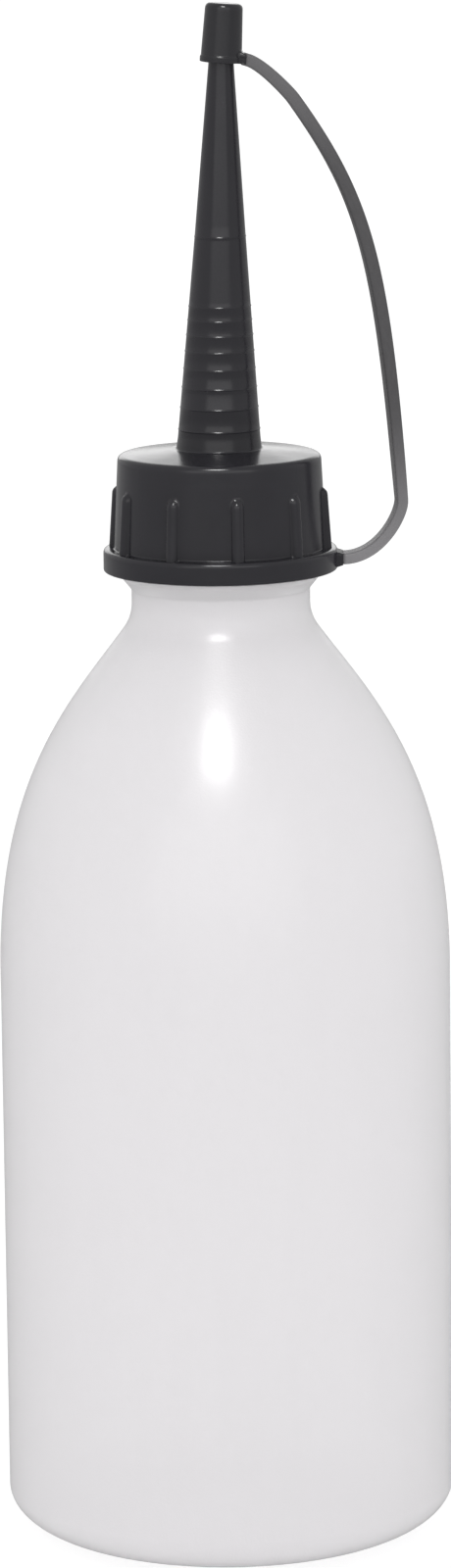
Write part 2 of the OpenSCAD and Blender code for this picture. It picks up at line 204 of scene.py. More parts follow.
def panel(name, azimuth, elevation, distance, width, height, brightness):
    """A rectangular lamp that looks at LIGHT_AIM and that only reflections see. Azimuth 0 is the camera's
    side, positive to the right, and brightness is what a mirror would show."""
    a, e = math.radians(azimuth), math.radians(elevation)
    away = Vector((math.sin(a) * math.cos(e), -math.cos(a) * math.cos(e), math.sin(e)))
    data = bpy.data.lights.new(name, "AREA")
    data.shape = "RECTANGLE"
    data.size = width
    data.size_y = height
    data.energy = brightness * math.pi * width * height
    lamp = bpy.data.objects.new(name, data)
    bpy.context.scene.collection.objects.link(lamp)
    lamp.location = LIGHT_AIM + away * distance
    lamp.rotation_mode = "QUATERNION"
    lamp.rotation_quaternion = (-away).to_track_quat("-Z", "Y")
    lamp.visible_camera = lamp.visible_diffuse = lamp.visible_transmission = False


make_air()
make_table()
panel("key_softbox", azimuth=-4.5, elevation=50, distance=1.2, width=0.30, height=0.36, brightness=17.0)
panel("front_panel", azimuth=0, elevation=18.5, distance=2.6, width=4.0, height=1.3, brightness=0.7)
panel("low_back_panel", azimuth=180, elevation=14, distance=1.6, width=1.3, height=0.5, brightness=1.3)
print("studio: white air, table, three panels")

# %% [markdown]
# All rigid pieces here are turned or blown, so their shape is a profile carried round an axis. The profile is
# drawn by its corners, each with a radius. A corner becomes a short curve that leaves and joins the straight
# sides without a kink, and long sides are divided where something is to stand on them.


# %% profile helpers
def unit(v):
    """The vectors of v, each of length one."""
    return v / np.linalg.norm(v, axis=-1, keepdims=True)


def cubic(p, t):
    """Points at t on the cubic curve with the four control points p."""
    p = np.asarray(p, float)
    t = np.asarray(t, float)[:, None]
    return (1 - t) ** 3 * p[0] + 3 * (1 - t) ** 2 * t * p[1] + 3 * (1 - t) * t**2 * p[2] + t**3 * p[3]


LONGEST_REACH = 0.48


def rounded(corners, steps=6):
    """A line through corners (r, z, radius): each inner corner is a quadratic curve between the points where
    a circle of that radius would touch the two sides, kept within LONGEST_REACH of the shorter side."""
    c = np.asarray(corners, float)
    p, radius = c[:, :2], c[:, 2]
    parts = [p[:1]]
    for i in range(1, len(p) - 1):
        back, on = p[i - 1] - p[i], p[i + 1] - p[i]
        a, b = unit(back), unit(on)
        half = math.acos(np.clip(a @ b, -1, 1)) / 2
        shorter = min(np.linalg.norm(back), np.linalg.norm(on))
        reach = min(radius[i] / math.tan(half), LONGEST_REACH * shorter)
        t = np.linspace(0, 1, steps + 1)[:, None]
        start, end = p[i] + reach * a, p[i] + reach * b
        parts.append((1 - t) ** 2 * start + 2 * (1 - t) * t * p[i] + t**2 * end)
    return np.vstack([*parts, p[-1:]])


def divided(line, step):
    """The same line with points added, so that no side is longer than step."""
    line = np.asarray(line, float)
    length = np.linalg.norm(np.diff(line, axis=0), axis=1)
    counts = np.maximum(1, np.ceil(length / step)).astype(int)
    parts = [a + (b - a) * np.arange(n)[:, None] / n for a, b, n in zip(line[:-1], line[1:], counts)]
    return np.vstack([*parts, line[-1:]])


def moved_left(line, by):
    """The line moved by that distance to the left of its direction of travel."""
    d = unit(np.gradient(line, axis=0))
    return line + by * np.stack([-d[:, 1], d[:, 0]], 1)


# %% [markdown]
# A profile with n points, carried round m angles, is a grid of n times m points. One function puts such a
# grid into a mesh with whole arrays: it numbers the four corners of every face at once. A grid may close on
# itself both ways, as on a ring, or end in two points, as on a cup. There the first and the last row are one
# vertex each, and the faces beside them lose the corner that would be double.


# %% grid to mesh
CORNER_ROW = np.array([0, 0, 1, 1])
CORNER_COLUMN = np.array([0, 1, 1, 0])


def skin(name, points, ring, material, body, node):
    """A smooth closed mesh from points[rows, columns, xyz] in mm. Columns always close. With ring the rows
    close too; without it the first and the last row are single points. Faces look to the side on which the
    columns run anticlockwise when the rows run up. The map has the share round and the mm along."""
    rows, columns = points.shape[:2]
    bands = rows if ring else rows - 1
    i, j = np.broadcast_arrays(np.arange(bands)[:, None, None] + CORNER_ROW,
                               np.arange(columns)[:, None] + CORNER_COLUMN)
    keep = np.ones(i.shape, bool)
    if ring:
        at = points.reshape(-1, 3)
        corner = i % rows * columns + j % columns
    else:
        at = np.vstack([points[0, :1], points[1:-1].reshape(-1, 3), points[-1, :1]])
        corner = np.clip((i - 1) * columns + 1 + j % columns, 0, len(at) - 1)
        keep[0, :, 1] = keep[-1, :, 3] = False
    first = points[:, 0]
    pace = np.linalg.norm(np.roll(first, -1, axis=0) - first, axis=1)
    along = np.concatenate([[0], np.cumsum(pace)])
    uv = np.stack([j / columns, along[i]], -1)[keep]
    sides = keep.sum(-1).ravel()
    mesh = bpy.data.meshes.new(name)
    mesh.vertices.add(len(at))
    mesh.loops.add(len(uv))
    mesh.polygons.add(len(sides))
    mesh.vertices.foreach_set("co", (at * MM).astype(np.float32).ravel())
    mesh.loops.foreach_set("vertex_index", corner[keep].astype(np.int32))
    mesh.polygons.foreach_set("loop_start", (np.cumsum(sides) - sides).astype(np.int32))
    mesh.update(calc_edges=True)
    mesh.uv_layers.new(name="skin").data.foreach_set("uv", uv.astype(np.float32).ravel())
    mesh.polygons.foreach_set("use_smooth", np.ones(len(sides), bool))
    mesh.materials.append(material)
    piece = bpy.data.objects.new(name, mesh)
    bpy.context.scene.collection.objects.link(piece)
    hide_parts(node)
    if body:
        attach(piece, body)
    print(name, "rows", rows, "columns", columns, "faces", len(sides), "valid", not mesh.validate())
    return piece


def turned(r, z, angles):
    """Points round the Z axis: r and z are grids or columns, angles is one row."""
    r, z, angles = np.broadcast_arrays(r, z, angles)
    return np.stack([r * np.cos(angles), r * np.sin(angles), z], -1)


def ease(t):
    """Nought below 0, one above 1, and a smooth S between."""
    t = np.clip(t, 0, 1)
    return t * t * (3 - 2 * t)


def between(t, start, end):
    """Nought before start, one after end, and a smooth S between."""
    return ease((t - start) / (end - start))


def column(values):
    """A one-dimensional array as a column."""
    return np.asarray(values)[:, None]


# %% [markdown]
# Every plastic here came out of a steel mould, and its skin shows it: a very fine grain, and a gloss that
# drifts a little from place to place. That is one node group, placed in each material with its own values.
# It puts out a roughness and a height for a bump.


# %% moulded skin group
NOISE_LOW, NOISE_HIGH = 0.3, 0.7


def make_moulded_skin():
    """Roughness = Gloss drift noise between Smoothest and Dullest; Height = fine grain plus slow ripple."""
    group = bpy.data.node_groups.new("moulded_skin", "ShaderNodeTree")
    face = group.interface
    for name, value in (("Grain Scale", 4000.0), ("Drift Scale", 90.0), ("Smoothest", 0.2),
                        ("Dullest", 0.3), ("Ripple", 0.5)):
        socket = face.new_socket(name, in_out="INPUT", socket_type="NodeSocketFloat")
        socket.default_value = value
    face.new_socket("Vector", in_out="INPUT", socket_type="NodeSocketVector")
    face.new_socket("Roughness", in_out="OUTPUT", socket_type="NodeSocketFloat")
    face.new_socket("Height", in_out="OUTPUT", socket_type="NodeSocketFloat")
    inside = put(group, "NodeGroupInput")
    out = put(group, "NodeGroupOutput")
    drift = put(group, "ShaderNodeTexNoise", Detail=3.0, Roughness=0.55)
    grain = put(group, "ShaderNodeTexNoise", Detail=2.0, Roughness=0.6)
    join(group, inside.outputs["Vector"], drift.inputs["Vector"])
    join(group, inside.outputs["Vector"], grain.inputs["Vector"])
    join(group, inside.outputs["Drift Scale"], drift.inputs["Scale"])
    join(group, inside.outputs["Grain Scale"], grain.inputs["Scale"])
    span = put(group, "ShaderNodeMapRange", interpolation_type="SMOOTHSTEP")
    span.inputs["From Min"].default_value = NOISE_LOW
    span.inputs["From Max"].default_value = NOISE_HIGH
    join(group, drift.outputs["Fac"], span.inputs["Value"])
    join(group, inside.outputs["Smoothest"], span.inputs["To Min"])
    join(group, inside.outputs["Dullest"], span.inputs["To Max"])
    join(group, span.outputs["Result"], out.inputs["Roughness"])
    slow = put(group, "ShaderNodeMath", operation="MULTIPLY")
    both = put(group, "ShaderNodeMath", operation="ADD")
    join(group, drift.outputs["Fac"], slow.inputs[0])
    join(group, inside.outputs["Ripple"], slow.inputs[1])
    join(group, grain.outputs["Fac"], both.inputs[0])
    join(group, slow.outputs[0], both.inputs[1])
    join(group, both.outputs[0], out.inputs["Height"])
    return group


moulded_skin = make_moulded_skin()


def place_skin(tree, vector, **values):
    """The moulded skin group in a material, read along that vector."""
    node = tree.nodes.new("ShaderNodeGroup")
    node.node_tree = moulded_skin
    for key, value in values.items():
        node.inputs[key.replace("_", " ")].default_value = value
    join(tree, vector, node.inputs["Vector"])
    return node


def two_tones(tree, mask, first, second):
    """A colour that goes from the first to the second with the mask."""
    tone = put(tree, "ShaderNodeMix", data_type="RGBA")
    tone.inputs["A"].default_value = first
    tone.inputs["B"].default_value = second
    join(tree, mask, tone.inputs["Factor"])
    return tone


def finish_plastic(tree, tone, surface, height, strength, depth):
    """The plastic's shader, with the tone, the skin's roughness, and a bump of that depth in mm."""
    relief = put(tree, "ShaderNodeBump", Strength=strength, Distance=depth * MM)
    join(tree, height, relief.inputs["Height"])
    shader = put(tree, "ShaderNodeBsdfPrincipled", IOR=1.5)
    join(tree, tone.outputs["Result"], shader.inputs["Base Color"])
    join(tree, surface.outputs["Roughness"], shader.inputs["Roughness"])
    join(tree, relief.outputs[0], shader.inputs["Normal"])
    out = put(tree, "ShaderNodeOutputMaterial")
    join(tree, shader.outputs[0], out.inputs["Surface"])
    return shader


# %% [markdown]
# Blown low-density polyethylene is milky: some light goes on through the wall, blurred, and the rest is
# scattered back. A subsurface shader could do it, but it is slow and an export loses it. Here the wall has
# its true thickness. Where light enters it, one shader scatters most and lets a part through; where light
# leaves it, all goes on, or the wall would trap it and look grey. Faint streaks run up the blown body.


# %% milky polyethylene
# The roughness starts at 0.28, because a range that crossed about 0.27 left outlines of the gloss noise in
# the denoised picture. The same holds for the black plastics, from below.
MILKY = dict(through=0.38, specular=0.25, smoothest=0.28, dullest=0.34, coat=0.35, coat_roughness=0.2)
MILKY_TONES = (0.965, 0.95, 0.965, 1), (0.985, 0.97, 0.985, 1)
STREAK_STRETCH = (1, 1, 0.06)


def milky_material():
    """Base colour drifts between two near whites along upright streaks; bump is grain plus streaks."""
    material, tree = empty_material("milky_polyethylene")
    where = put(tree, "ShaderNodeTexCoord")
    tall = put(tree, "ShaderNodeMapping", Scale=STREAK_STRETCH)
    join(tree, where.outputs["Object"], tall.inputs["Vector"])
    streak = put(tree, "ShaderNodeTexNoise", Scale=260.0, Detail=4.0, Roughness=0.5)
    join(tree, tall.outputs[0], streak.inputs["Vector"])
    tone = two_tones(tree, streak.outputs["Fac"], *MILKY_TONES)
    surface = place_skin(tree, where.outputs["Object"], Grain_Scale=2600.0, Drift_Scale=60.0,
                         Smoothest=MILKY["smoothest"], Dullest=MILKY["dullest"], Ripple=0.8)
    total = put(tree, "ShaderNodeMath", operation="ADD")
    join(tree, surface.outputs["Height"], total.inputs[0])
    join(tree, streak.outputs["Fac"], total.inputs[1])
    shader = finish_plastic(tree, tone, surface, total.outputs[0], strength=0.35, depth=0.08)
    shader.inputs["Specular IOR Level"].default_value = MILKY["specular"]
    side = put(tree, "ShaderNodeNewGeometry")
    join(tree, chosen(tree, side.outputs["Backfacing"], MILKY["through"], 1.0),
         shader.inputs["Transmission Weight"])
    shader.inputs["Coat Weight"].default_value = MILKY["coat"]
    shader.inputs["Coat Roughness"].default_value = MILKY["coat_roughness"]
    return material


milky = milky_material()

# %% [markdown]
# The bottle's outline is built from the foot: a slightly raised middle, the ring it stands on, a rounded
# edge, the straight body, a shoulder that is one cubic curve, a hollow into the neck, and the bead under the
# cap. The inside is the same line moved inwards by the wall.

# %% bottle outline
BODY_R, WALL, FOOT_R, FOOT_W, CORNER_H, PUSH_UP = 37.5, 1.1, 25.8, 4.0, 6.9, 2.0
SHOULDER_Z, SHOULDER_H, SHOULDER_ANGLE = 95.5, 57.3, math.radians(36.25)
SHOULDER_PULLS = (0.573, 0.261)
NECK_R, NECK_FILLET, NECK_BORE_R, BEAD_R = 14.75, 7.4, 12.6, 16.2
NECK_H, BEAD_SLOPE_H, BEAD_H = 2.3, 1.8, 0.9
THREAD_R, THREAD_H, PITCH, TURNS, THREAD_START = 15.0, 1.05, 4.0, 1.75, 7.3
THREAD_FOOT_W, THREAD_CREST_W, THREAD_FADE, CLEARANCE, FLANK_CLEARANCE = 2.0, 0.9, 0.12, 0.2, 0.15
MOUTH_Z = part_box("bottle")[1].z / MM

shoulder_end = np.array([NECK_R + NECK_FILLET * (1 - math.cos(SHOULDER_ANGLE)), SHOULDER_Z + SHOULDER_H])
slope = np.array([math.sin(SHOULDER_ANGLE), -math.cos(SHOULDER_ANGLE)])
neck_z = shoulder_end[1] + NECK_FILLET * math.sin(SHOULDER_ANGLE)
bead_top_z = neck_z + NECK_H + BEAD_SLOPE_H + BEAD_H
finish_r = THREAD_R - THREAD_H


def bottle_shell():
    """The blown outline from the middle of the foot to the neck."""
    r = np.linspace(0, FOOT_R - FOOT_W, 14)
    dome = np.stack([r, PUSH_UP * (1 - (r / (FOOT_R - FOOT_W)) ** 2)], 1)
    w = np.radians(np.linspace(-90, 0, 28))
    corner = np.stack([FOOT_R + (BODY_R - FOOT_R) * np.cos(w), CORNER_H + CORNER_H * np.sin(w)], 1)
    body = np.array([corner[-1], [BODY_R, SHOULDER_Z]])
    low, high = (pull * SHOULDER_H for pull in SHOULDER_PULLS)
    curve = cubic([[BODY_R, SHOULDER_Z], [BODY_R, SHOULDER_Z + low], shoulder_end + high * slope,
                   shoulder_end], np.linspace(0, 1, 60))
    w = np.linspace(math.pi + SHOULDER_ANGLE, math.pi, 18)
    hollow = np.stack([NECK_R + NECK_FILLET * (1 + np.cos(w)), neck_z + NECK_FILLET * np.sin(w)], 1)
    return np.vstack([dome, divided(corner, 2)[:-1], divided(body, 3)[:-1], curve[:-1], hollow])


shell = bottle_shell()
neck = rounded([
    [NECK_R, neck_z, 0], [NECK_R, neck_z + NECK_H, 0.8], [BEAD_R, bead_top_z - BEAD_H, 0.5],
    [BEAD_R, bead_top_z, 0.3], [finish_r, bead_top_z, 0.3], [finish_r, MOUTH_Z, 0.4],
    [NECK_BORE_R, MOUTH_Z, 0.4], [NECK_BORE_R, bead_top_z, 1.5], [NECK_R - WALL, neck_z, 2]])
bottle_line = np.vstack([shell[:-1], divided(neck, 0.3), moved_left(shell, WALL)[::-1][1:]])
print("bottle outline:", len(bottle_line), "points, neck at z", round(neck_z, 1))


# %% [markdown]
# The thread is one ridge that climbs by its pitch in a turn. On the grid it is a height: how far a point lies
# from the middle of the ridge decides how far it stands out, and the ridge fades in and out at its ends.
# The same function serves the cap, where the height points inwards.


# %% thread height
def ridge(angles, z, start):
    """Height of the ridge at a row of angles and a column of z. For each turn the ridge's middle is at
    start + PITCH * turns climbed, and the height falls from full at the crest to nought at the foot."""
    height = np.zeros(np.broadcast_shapes(angles.shape, z.shape))
    for turn in range(math.ceil(TURNS)):
        climbed = np.mod(angles, 2 * math.pi) / (2 * math.pi) + turn
        from_middle = np.abs(z - start - PITCH * climbed)
        flank = ease((THREAD_FOOT_W / 2 - from_middle) / (THREAD_FOOT_W - THREAD_CREST_W) * 2)
        fade = ease(climbed / THREAD_FADE) * ease((TURNS - climbed) / THREAD_FADE)
        height = np.maximum(height, THREAD_H * flank * fade)
    return height


thread_z = bead_top_z + THREAD_START
cap_thread_z = thread_z - (THREAD_FOOT_W + THREAD_CREST_W) / 2 - FLANK_CLEARANCE


# %% bottle
def make_bottle():
    """The outline carried round, with the thread on the rows outside the mouth."""
    angles = np.linspace(0, 2 * math.pi, 200, endpoint=False)[None]
    r, z = column(bottle_line[:, 0]), column(bottle_line[:, 1])
    outside = (np.abs(r - finish_r) < 0.05) & (z > bead_top_z)
    r = r + np.where(outside, ridge(angles, z, thread_z), 0)
    return skin("bottle_shell", turned(r, z, angles), ring=False, material=milky,
                body="bottle", node="bottle")


bottle = make_bottle()

# %% [markdown]
# The cap, spout and tip cap are black polyethylene from polished moulds. Real black plastic is almost as dark
# as it can be: what the eye sees is mostly reflected light. So the base colour is very dark, and the gloss,
# which drifts a little, does the rest. The strap is thinner and duller, and its base is painted greyer as a
# painted sheen.


# %% black plastics
MARK_SCALE, MARK_LIFT = 120.0, 1.35


def black_material(name, colour, smoothest, dullest, bump):
    """A dark base with flow marks lighter by MARK_LIFT, and the moulded skin for gloss and bump."""
    material, tree = empty_material(name)
    where = put(tree, "ShaderNodeTexCoord")
    marks = put(tree, "ShaderNodeTexNoise", Scale=MARK_SCALE, Detail=5.0, Roughness=0.6)
    join(tree, where.outputs["Object"], marks.inputs["Vector"])
    lighter = MARK_LIFT * np.array(colour)
    tone = two_tones(tree, marks.outputs["Fac"], (*colour, 1), (*lighter, 1))
    surface = place_skin(tree, where.outputs["Object"], Smoothest=smoothest, Dullest=dullest)
    finish_plastic(tree, tone, surface, surface.outputs["Height"], strength=bump, depth=0.03)
    return material


black_cap = black_material("black_cap_polyethylene", (0.0165, 0.0158, 0.0195),
                           smoothest=0.16, dullest=0.26, bump=0.25)
black_tip = black_material("black_tip_polyethylene", (0.0165, 0.0162, 0.019),
                           smoothest=0.19, dullest=0.27, bump=0.3)
print("plastics:", milky.name, black_cap.name, black_tip.name)

# %% [markdown]
# The screw cap is one moulding, so it is one surface: the outline starts at the mouth of the bore, goes round
# the flange, up the skirt, over the deck, up the spout, back down its bore and down the threaded inside.
# Ribs, the strap's lug and the thread are heights on that surface, which gives them soft roots like the
# real ones. The spout leans a little, pulled by the strap, so its rows are moved sideways as they climb.

# %% cap sizes
DECK_T, WASHER_T, DECK_CROWN, CAP_BORE_R = 1.5, 1.0, 0.9, THREAD_R + CLEARANCE
SKIRT_FOOT_R, SKIRT_TOP_R, FLANGE_LEDGE, FLANGE_H = CAP_BORE_R + 2.3, CAP_BORE_R + 1.55, 1.8, 3.7
FLANGE_R = SKIRT_FOOT_R + FLANGE_LEDGE
RIBS, RIB_W, RIB_PROUD, RIB_TOP_PROUD, RIB_DROP, RIB_ANGLE, RIB_SOFT = 10, 2.2, 1.05, 0.85, 5.4, 9.5, 0.06
SPOUT_ROOT_R, SPOUT_LINE_R, SPOUT_TIP_R, SPOUT_WALL, SPOUT_TIP_BORE_R = 6.95, 4.19, 1.45, 1.2, 0.65
SPOUT_H, LINE_H, SPOUT_LEAN = 71.4, 35.0, math.radians(0.95)
RING_COUNT, RING_START, RING_PITCH, RING_GROWTH, RING_PROUD, RING_W = 8, 11.4, 2.27, 1.08, 0.09, 0.4
STRAP_ROOT_T, STRAP_T, STRAP_END_T, STRAP_W, STRAP_END_W = 1.9, 2.3, 2.05, 4.6, 3.6
STRAP_ROOT_H, FLANGE_LUG, LUG_MARGIN = 1.65, 0.95, 0.3
LUG_SIDE_SOFT, LUG_TOP_SOFT, LUG_DEPTH = 0.35, 0.3, 0.9
cap_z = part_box("screw_cap")[0].z / MM
flange_top_z = cap_z + FLANGE_H
deck_under_z = MOUTH_Z + WASHER_T
deck_edge_z = deck_under_z + DECK_T
deck_z = deck_edge_z + DECK_CROWN
tip_z = deck_z + SPOUT_H
print("cap from z", round(cap_z, 1), "to deck", round(deck_z, 1), "and tip", round(tip_z, 1))


# %% cap outline
def spout_outside(h):
    """Radius of the spout at the height h over the deck: two cones that meet at the mould line."""
    return np.interp(h, [0, LINE_H, SPOUT_H], [SPOUT_ROOT_R, SPOUT_LINE_R, SPOUT_TIP_R])


def spout_line():
    """Rows up the spout: a coarse pace, and five rows on each cutting ring and on the mould line."""
    gaps = RING_PITCH * RING_GROWTH ** np.arange(RING_COUNT - 1)
    rings = LINE_H - RING_START - np.concatenate([[0], np.cumsum(gaps)])
    ridges = np.concatenate([rings, [LINE_H]])
    across = np.linspace(-0.5, 0.5, 7) * RING_W
    h = np.unique(np.concatenate([np.arange(2.0, SPOUT_H - 1, 2.5), (ridges[:, None] + across).ravel()]))
    nearest = np.abs(h[:, None] - ridges).min(1)
    r = spout_outside(h) + RING_PROUD * ease(1 - 2 * nearest / RING_W)
    return np.stack([r, deck_z + h], 1)


def cap_outline():
    """The closed outline of the moulding, from the mouth of the bore round the outside and back inside."""
    skirt_foot = [SKIRT_FOOT_R, flange_top_z, 0.35]
    outer = rounded([
        [CAP_BORE_R + 0.4, cap_z, 0], [FLANGE_R, cap_z, 0.35], [FLANGE_R, flange_top_z, 0.8],
        skirt_foot, [SKIRT_TOP_R, deck_edge_z, 1.1], [SPOUT_ROOT_R + 1.2, deck_z, 0.2],
        [SPOUT_ROOT_R + 0.1, deck_z + 0.05, 0.4], [spout_outside(2.0), deck_z + 2.0, 0]], steps=8)
    inner = rounded([
        [SPOUT_TIP_R, tip_z - 1, 0], [SPOUT_TIP_R, tip_z, 0.25], [SPOUT_TIP_BORE_R, tip_z, 0.2],
        [SPOUT_ROOT_R - SPOUT_WALL, deck_under_z, 0.4], [CAP_BORE_R, deck_under_z, 0.4],
        [CAP_BORE_R, cap_z + 0.4, 0.3], [CAP_BORE_R + 0.4, cap_z, 0]], steps=5)
    inner[0, 0] = spout_outside(SPOUT_H - 1)
    lower = divided(outer, 0.34)
    return np.vstack([lower[:-1], spout_line(), divided(inner, 3)[:-1]])


def near(angles, middle):
    """The angle from middle, between minus and plus half a turn."""
    return np.mod(angles - middle + math.pi, 2 * math.pi) - math.pi


rib_angles = np.radians(-90 + RIB_ANGLE + 360 / RIBS * np.arange(RIBS))


RIB_SPAN = 4.6


def cap_angles():
    """Columns round the cap: fine within RIB_SPAN degrees of each rib and over the lug, wider between."""
    over = np.radians(np.linspace(-RIB_SPAN, RIB_SPAN, 23))
    beside = np.radians(np.linspace(RIB_SPAN, 360 / RIBS - RIB_SPAN, 10)[1:-1])
    at_ribs = (rib_angles[:, None] + np.concatenate([over, beside])).ravel()
    lug = np.radians([6.6, 7.2, 7.8, 8.4, 9.0])
    return np.unique(np.round(np.mod(np.concatenate([at_ribs, lug]), 2 * math.pi), 6))[None]


def rib_height(angles, r, z):
    """How far a rib stands out: a round bar of RIB_W with a domed top, sunk into the skirt to its height,
    and blended into the skirt over RIB_SOFT."""
    half = RIB_W / 2
    top = deck_edge_z - RIB_DROP
    share = np.clip((z - flange_top_z) / (top - flange_top_z), 0, 1)
    proud = RIB_PROUD + (RIB_TOP_PROUD - RIB_PROUD) * share
    off = np.abs(near(angles[..., None], rib_angles)).min(-1) * r
    over = np.maximum(0, z - (top - half))
    bar = np.sqrt(np.maximum(0, half**2 - off**2 - over**2)) - (half - proud)
    return 0.5 * (bar + np.sqrt(bar**2 + RIB_SOFT**2)) * (bar > -0.5)


def skirt_radius(z):
    """Radius of the bare skirt at the height z."""
    return np.interp(z, [flange_top_z, deck_edge_z], [SKIRT_FOOT_R, SKIRT_TOP_R])


# %% screw cap
def make_screw_cap():
    """The closed outline carried round, with ribs, lug and thread as heights and the spout's lean."""
    line = cap_outline()
    angles = cap_angles()
    r, z = column(line[:, 0]), column(line[:, 1])
    rows = column(np.arange(len(line)))
    up_skirt = (rows < np.argmax(line[:, 1] > deck_edge_z - 3)) & (z >= flange_top_z - 0.01)
    ribbed = skirt_radius(z) + rib_height(angles, r, z)
    full = np.where(up_skirt, np.maximum(r, ribbed), r)
    lug_half_w = STRAP_W / 2 + LUG_MARGIN
    lug_half_t = STRAP_ROOT_T / 2 + LUG_MARGIN
    side = np.abs(r * np.sin(angles))
    rise = np.abs(z - cap_z - STRAP_ROOT_H)
    mask = ease((lug_half_w - side) / LUG_SIDE_SOFT) * ease((lug_half_t - rise) / LUG_TOP_SOFT)
    mask = mask * (np.cos(angles) > 0)
    on_flange = (r > FLANGE_R - LUG_DEPTH) & (z < flange_top_z + 0.1)
    face = (FLANGE_R + FLANGE_LUG) / np.maximum(np.cos(angles), 0.5)
    full = np.where(on_flange, full + (face - full) * mask, full)
    inside = (np.abs(r - CAP_BORE_R) < 0.03) & (rows > len(line) / 2)
    full = full - np.where(inside, ridge(angles, z, cap_thread_z), 0)
    points = turned(full, z, angles)
    points[..., 0] += math.tan(SPOUT_LEAN) * np.maximum(0, z - deck_z) * ease((z - deck_z) / 2)
    return skin("screw_cap_moulding", points, ring=True, material=black_cap,
                body="screw_cap", node="screw_cap")


screw_cap = make_screw_cap()

# %% [markdown]
# The tip cap is a small cup with a raised rim, tilted on the spout. It is made upright, turned about the
# middle of its rim, and set on the spout's axis. Its lug, where the strap runs in, is a height on its wall.

# %% tip cap
TIP_H, TIP_RIM_R, TIP_TOP_R, TIP_TOP_T, TIP_INNER_R = 9.6, 3.5, 3.05, 1.2, 2.0
TIP_CLEARANCE, TIP_SEAT, TIP_RIM_H, TIP_RIM_PROUD, TIP_LUG = 0.15, 0.3, 0.9, 0.15, 0.6
TIP_TILT, STRAP_END_ANGLE, STRAP_END_H = math.radians(3.7), math.radians(12.8), 0.7
tip_rim_h = SPOUT_H + TIP_SEAT - (TIP_H - TIP_TOP_T)
tip_rim_at = np.array([tip_rim_h * math.sin(SPOUT_LEAN), deck_z + tip_rim_h * math.cos(SPOUT_LEAN)])
tip_across = np.array([math.cos(TIP_TILT), -math.sin(TIP_TILT)])
tip_up = np.array([math.sin(TIP_TILT), math.cos(TIP_TILT)])
strap_end_dir = np.array([-math.cos(STRAP_END_ANGLE), math.sin(STRAP_END_ANGLE)])
strap_end_at = tip_rim_at + TIP_RIM_R * tip_across + STRAP_END_H * tip_up - TIP_LUG * strap_end_dir


def make_tip_cap():
    """A cup drawn from the top of its hollow, down inside, round the rim, up outside and over the top."""
    rim_bore = float(spout_outside(tip_rim_h)) + TIP_CLEARANCE
    line = divided(rounded([
        [0, TIP_H - TIP_TOP_T, 0], [TIP_INNER_R, TIP_H - TIP_TOP_T, 0.3], [rim_bore, 0, 0.2],
        [TIP_RIM_R, 0, 0.18], [TIP_RIM_R, TIP_RIM_H, 0.2],
        [TIP_RIM_R - TIP_RIM_PROUD, TIP_RIM_H + 0.25, 0.3], [TIP_TOP_R, TIP_H, 0.95], [0, TIP_H, 0]],
        steps=10), 0.3)
    angles = np.linspace(0, 2 * math.pi, 120, endpoint=False)[None]
    r, z = column(line[:, 0]), column(line[:, 1])
    side = np.abs(r * np.sin(angles))
    height = STRAP_END_H + STRAP_END_T / 2 + LUG_MARGIN
    mask = ease((STRAP_END_W / 2 + LUG_MARGIN / 2 - side) / 0.4) * (np.cos(angles) > 0)
    mask = mask * ease((height - z) / 0.5) * (r > TIP_TOP_R)
    face = (TIP_RIM_R + TIP_LUG * math.cos(STRAP_END_ANGLE)) / np.maximum(np.cos(angles), 0.6)
    r = r + (face - r) * mask
    p = turned(r, z, angles)
    x = tip_rim_at[0] + p[..., 0] * tip_across[0] + p[..., 2] * tip_up[0]
    up = tip_rim_at[1] + p[..., 0] * tip_across[1] + p[..., 2] * tip_up[1]
    return skin("tip_cap_moulding", np.stack([x, p[..., 1], up], -1), ring=False, material=black_tip,
                body="tip_cap", node="tip_cap")


tip_cap = make_tip_cap()

# %% [markdown]
# The strap is a flat band with rounded edges, carried along its real route: straight out of the flange, round
# a tight knee and up in one long bow. Its section is a rounded rectangle, and it twists a few degrees in the
# upright stretch, where the photograph shows a dark sliver of its inner face.

# %% strap route
STRAP_REACH, KNEE_H, KNEE_ANGLE = 29.9, 11.25, math.radians(4.3)
CROOK_X, CROOK_DROP, CROOK_ANGLE = 11.6, 5.9, math.radians(54.8)
STRAP_TWIST, STRAP_END_TWIST = math.radians(7.3), math.radians(2.2)
KNEE_PULLS, BOW_PULLS, CROOK_PULLS = (0.64, 0.24), (0.6, 0.307), (0.07, 0.266)
root_at = np.array([FLANGE_R + FLANGE_LUG, cap_z + STRAP_ROOT_H])
knee_at = np.array([STRAP_REACH, cap_z + KNEE_H])
crook_at = tip_rim_at + [CROOK_X, -CROOK_DROP]
knee_dir = np.array([-math.sin(KNEE_ANGLE), math.cos(KNEE_ANGLE)])
crook_dir = np.array([-math.cos(CROOK_ANGLE), math.sin(CROOK_ANGLE)])


def route(start, start_arm, end, end_arm, count):
    """Points of the cubic curve that leaves start along start_arm and reaches end along end_arm."""
    return cubic([start, start + start_arm, end - end_arm, end], np.linspace(0, 1, count))


